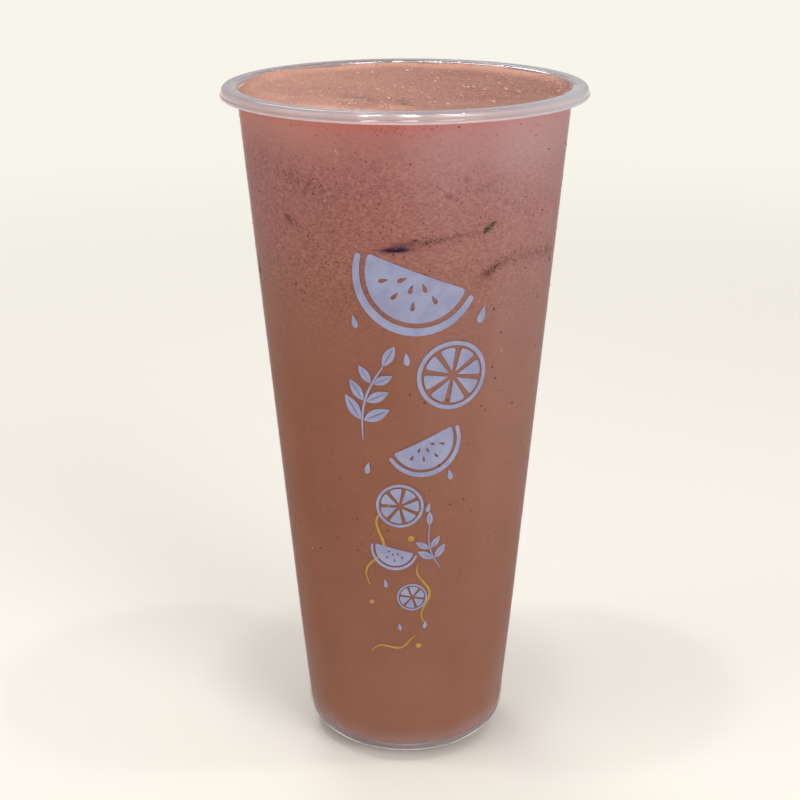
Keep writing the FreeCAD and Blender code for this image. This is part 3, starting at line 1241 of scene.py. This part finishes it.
scraps = {
    "lift": drink["wallSkin"] - cup["wall"] - 0.03,
    "thickness": 0.09,
    "green": [  # degrees from the front, height, heading, length, width
        (29.0, 152.5, 80, 1.9, 1.5),
        (29.9, 153.1, 30, 1.5, 0.9),
        (31.2, 153.8, 34, 2.1, 1.4),
        (32.3, 154.3, 50, 1.2, 0.8),
        (-141.0, 149.5, 20, 3.0, 1.3),
        (152.0, 160.0, -30, 2.0, 0.9),
    ],
    "dark": [
        (-4.2, 148.9, 1, 2.8, 0.6),
        (-1.6, 149.1, 4, 2.6, 0.5),
        (-75.2, 136.1, -62, 2.0, 0.7),
        (70.7, 139.8, -84, 1.6, 0.35),
        (172.0, 146.2, 4, 3.4, 1.2),
    ],
    "brown": [
        (3.6, 151.3, 10, 1.1, 0.55),
        (2.8, 151.2, 40, 0.7, 0.4),
        (7.7, 150.3, 4, 1.0, 0.45),
        (8.8, 150.8, -30, 0.8, 0.5),
        (12.4, 151.2, 16, 0.9, 0.5),
        (14.6, 151.5, 8, 0.9, 0.3),
        (30.9, 141.2, 50, 1.1, 0.5),
        (33.6, 142.6, 40, 0.9, 0.4),
        (36.0, 143.4, 20, 0.7, 0.35),
    ],
    "drifts": [  # from degrees and height to degrees and height, number of crumbs, size of the largest
        ((-5, 149.4), (3, 150.9), 40, 0.45),
        ((2, 151.0), (9, 150.4), 60, 0.5),
        ((9, 150.6), (20, 151.8), 46, 0.42),
        ((20, 151.8), (28, 152.4), 16, 0.35),
        ((28.5, 152.2), (32.5, 154.2), 24, 0.4),
        ((29.5, 140.2), (35.5, 143.6), 76, 0.45),
        ((35, 143.4), (46, 144.0), 40, 0.36),
        ((46, 143.8), (69, 142.6), 46, 0.4),
        ((70.3, 140.8), (71.1, 138.6), 10, 0.35),
        ((-77, 135.6), (-72, 137.4), 18, 0.4),
        ((-46, 155.0), (-42.5, 152.8), 34, 0.38),
        ((-46, 166.0), (-30, 163.4), 26, 0.36),
        ((13, 162.4), (16, 161.6), 16, 0.36),
        ((20, 166.0), (22.5, 163.0), 16, 0.34),
        ((112, 146.0), (165, 149.0), 70, 0.5),
        ((185, 145.0), (228, 141.0), 60, 0.5),
        ((246, 139.0), (276, 137.0), 30, 0.45),
    ],
    "reds": [  # degrees, height, width
        (17.2, 178.7, 0.95),
        (38.6, 152.2, 0.55),
        (12.4, 136.9, 0.5),
        (56.6, 133.9, 0.5),
        (49.4, 176.7, 0.5),
    ],
    "redDrifts": [
        ((-15, 179.0), (-3, 178.3), 34, 0.62),
        ((-6, 177.8), (11, 177.3), 40, 0.55),
        ((4, 178.7), (12, 178.9), 16, 0.6),
        ((20, 176.6), (30, 175.2), 10, 0.5),
    ],
    "spread": 0.32,
    "redSpread": 0.64,
    "spreadDegrees": 0.5,
    "crumbSink": 0.01,
    "seed": 17,
    "cutStep": 0.7,
    "looks": {  # darker colour, lighter colour, grain per mm
        "green": (seen(62, 50, 38), seen(92, 86, 60), 1.1),
        "dark": (seen(40, 28, 48), seen(64, 44, 60), 1.2),
        "brown": (seen(62, 38, 34), seen(94, 62, 52), 1.2),
        "crumbs": (seen(74, 48, 38), seen(112, 76, 60), 0.8),
        "red": (seen(132, 62, 56), seen(150, 76, 68), 1.0),
    },
}


def scrapShape(length, width, chance, corners=13):  # a torn bit with an uneven edge
    edge = []
    for k in range(corners):
        turn = 2 * math.pi * k / corners
        reach = chance.uniform(0.45, 1.0)
        edge.append(Vector((length / 2 * reach * math.cos(turn), width / 2 * reach * math.sin(turn))))
    return [[edge]]


def layScrap(sheet, shape, degrees, z, turn, deeper=0.0):
    lift = scraps["lift"] - deeper
    layOnWall(sheet, shape, degrees, z, turn, lift, scraps["thickness"], scraps["cutStep"])


def scrapPiece(name, sheet, kind):
    sheetPiece(name, sheet, dullMottled(*scraps["looks"][kind]))


def layDrift(sheet, drift, spread, chance):  # crumbs strewn along a line
    start, end, count, largest = drift
    for _ in range(count):
        share = chance.random()
        degrees = start[0] + share * (end[0] - start[0]) + chance.gauss(0, scraps["spreadDegrees"])
        z = start[1] + share * (end[1] - start[1]) + chance.gauss(0, spread)
        size = largest * (0.35 + 0.65 * chance.random() ** 2)
        shape = scrapShape(size, size * chance.uniform(0.4, 0.8), chance, 7)
        layScrap(sheet, shape, degrees, z, chance.uniform(-40, 60), scraps["crumbSink"])


def makeScraps():
    chance = random.Random(scraps["seed"])
    for kind in ("green", "dark", "brown"):
        sheet = bmesh.new()
        for degrees, z, turn, length, width in scraps[kind]:
            layScrap(sheet, scrapShape(length, width, chance), degrees, z, turn)
        scrapPiece(kind + "Leaf", sheet, kind)
    sheet = bmesh.new()
    for drift in scraps["drifts"]:
        layDrift(sheet, drift, scraps["spread"], chance)
    scrapPiece("leafCrumbs", sheet, "crumbs")
    sheet = bmesh.new()
    for drift in scraps["redDrifts"]:
        layDrift(sheet, drift, scraps["redSpread"], chance)
    for degrees, z, size in scraps["reds"]:
        layScrap(sheet, scrapShape(size, size * 0.85, chance), degrees, z, 0)
    scrapPiece("redSpots", sheet, "red")


# Drops left on the rim and on the outside

drops = {
    "onRim": [  # degrees from the front, width
        (168.0, 1.9), (163.5, 1.2), (159.0, 2.1), (153.5, 1.4), (146.5, 1.2),
        (141.0, 1.8), (137.5, 1.1), (186.0, 1.1), (-84.0, 1.1), (-80.5, 0.9),
        (-108.0, 1.1), (64.0, 0.9), (20.0, 0.9), (236.0, 1.2),
    ],
    "onWall": [  # degrees, height, width
        (-22.5, 172.9, 0.8), (-22.1, 172.2, 0.45), (40.0, 120.0, 0.4),
        (-50.0, 62.0, 0.35), (150.0, 90.0, 0.6),
    ],
    "rimDepth": 0.62,
    "rimInset": 0.4,  # a share of the wall
    "rimFlatness": 0.42,  # heights as shares of the width
    "wallFlatness": 0.8,
    "outwardShare": 0.6,
}


def waterLook(graph):
    return graph.principled((1, 0.98, 0.97, 1), 0.02, {"IOR": 1.34, "Transmission Weight": 1.0})


def makeDrops():
    shape = bmesh.new()
    places = []
    z = cup["height"] - drops["rimDepth"]
    inset = -cup["wall"] * drops["rimInset"]
    for degrees, width in drops["onRim"]:
        places.append((onWall(degrees, z, inset), width, drops["rimFlatness"]))
    for degrees, z, width in drops["onWall"]:
        places.append((onWall(degrees, z), width, drops["wallFlatness"]))
    for place, width, tall in places:
        outward = Vector((place.x, place.y, 0)).normalized()
        across = Vector((-outward.y, outward.x, 0))
        for vertex in bmesh.ops.create_icosphere(shape, subdivisions=3, radius=1)["verts"]:
            x, y, z = vertex.co
            reach = across * x + outward * y * drops["outwardShare"] + Vector((0, 0, z * tall))
            vertex.co = (place + reach * width / 2) * mm
    mesh = bpy.data.meshes.new("drops")
    shape.to_mesh(mesh)
    shape.free()
    mesh.materials.append(newMaterial("drops", waterLook))
    return addPiece("rimDrops", mesh)


# Studio

studio = {
    "eye": (0.0, -440.3, 248.6),
    "pitch": 19.03,
    "yaw": 0.19,
    "roll": -0.17,
    "lens": 76.6,
    "nearFloor": seen(236, 232, 223),
    "farFloor": seen(248, 245, 235),
    "floorFade": (180.0, 900.0),
    "floorHalf": 6.0,
    "skyColour": (1, 0.99, 0.97, 1),
    "skyStrength": 0.55,
    "aim": (0.0, 0.0, 0.1),
    "lamps": [  # name, place, size, watts
        ("keyLamp", (0.45, -0.65, 0.55), (0.5, 0.5), 3.4),
        ("sideLamp", (-0.7, -0.3, 0.45), (0.5, 0.5), 1.3),
        ("backLamp", (-0.2, 0.6, 0.8), (0.4, 0.4), 1.6),
        ("leftCeilingLamp", (-0.26, -0.10, 1.15), (0.07, 0.07), 1.3),
        ("middleCeilingLamp", (0.02, -0.14, 1.15), (0.10, 0.10), 1.3),
        ("rightCeilingLamp", (0.36, -0.10, 1.10), (0.05, 0.05), 0.9),
    ],
    "glints": [  # name, degrees from the front, size, watts; they show in gloss only
        ("leftGlint", -27.0, (0.08, 0.8), 7.0),
        ("middleGlint", 5.0, (0.15, 0.7), 6.5),
        ("rightGlint", 36.0, (0.08, 0.8), 5.0),
    ],
    "glintReach": 0.7,
    "glintHeight": 0.95,
}


def floorLook(graph):
    away = graph.place().vector("LENGTH").output("Value")
    path = graph.make("ShaderNodeLightPath", {}, {}, "Is Camera Ray")
    shown = path + path.output("Is Glossy Ray") + path.output("Is Transmission Ray")
    far = graph.smooth(away, *studio["floorFade"]) * shown.maths("MINIMUM", 1.0)
    lit = graph.principled(studio["nearFloor"], 0.8)
    glow = graph.make("ShaderNodeEmission", {}, {"Color": studio["farFloor"]})
    return graph.mixShader(far, lit, glow)


def addLamp(name, place, size, power, glintOnly=False):  # size is across and up
    lamp = bpy.data.lights.new(name, "AREA")
    lamp.shape = "RECTANGLE" if glintOnly else "ELLIPSE"
    lamp.size, lamp.size_y = size
    lamp.energy = power
    holder = newObject(name, lamp)
    holder.location = place
    aim = Vector(studio["aim"]) - Vector(place)
    holder.rotation_euler = aim.to_track_quat("-Z", "Y").to_euler()
    holder.visible_diffuse = not glintOnly


def makeStudio():
    floor = bpy.data.meshes.new("floor")
    half = studio["floorHalf"]
    corners = [(-half, -half, 0), (half, -half, 0), (half, half, 0), (-half, half, 0)]
    floor.from_pydata(corners, [], [(0, 1, 2, 3)])
    floor.materials.append(newMaterial("paleFloor", floorLook))
    ground = newObject("floor", floor)
    world = bpy.data.worlds.new("studio")
    bpy.context.scene.world = world
    world.use_nodes = True
    world.node_tree.nodes.clear()
    graph = Graph(world.node_tree)
    light = graph.make("ShaderNodeBackground", {}, [studio["skyColour"], studio["skyStrength"]])
    graph.make("ShaderNodeOutputWorld", {}, {"Surface": light})
    for lamp in studio["lamps"]:
        addLamp(*lamp)
    for name, degrees, size, power in studio["glints"]:
        turn = math.radians(degrees)
        reach = Vector((math.sin(turn), -math.cos(turn), 0)) * studio["glintReach"]
        addLamp(name, reach + Vector((0, 0, studio["glintHeight"])), size, power, True)
    camera = newObject("camera", bpy.data.cameras.new("camera"))
    camera.data.lens = studio["lens"]
    camera.data.clip_start = 0.01
    camera.location = Vector(studio["eye"]) * mm
    turned = Matrix.Identity(3)
    for degrees, axis in ((studio["yaw"], "Z"), (90 - studio["pitch"], "X"), (studio["roll"], "Z")):
        turned = turned @ Matrix.Rotation(math.radians(degrees), 3, axis)
    camera.rotation_euler = turned.to_euler()
    bpy.context.scene.camera = camera
    bpy.context.scene.view_settings.view_transform = "Standard"


makeStudio()
print("studio ready")
makeCup()
print("cup turned")
froth = makeDrink()
print("drink poured")
scatterAll(froth)
print("small things scattered")
makeScraps()
makePrint()
makeDrops()
print("scraps, print and drops laid")
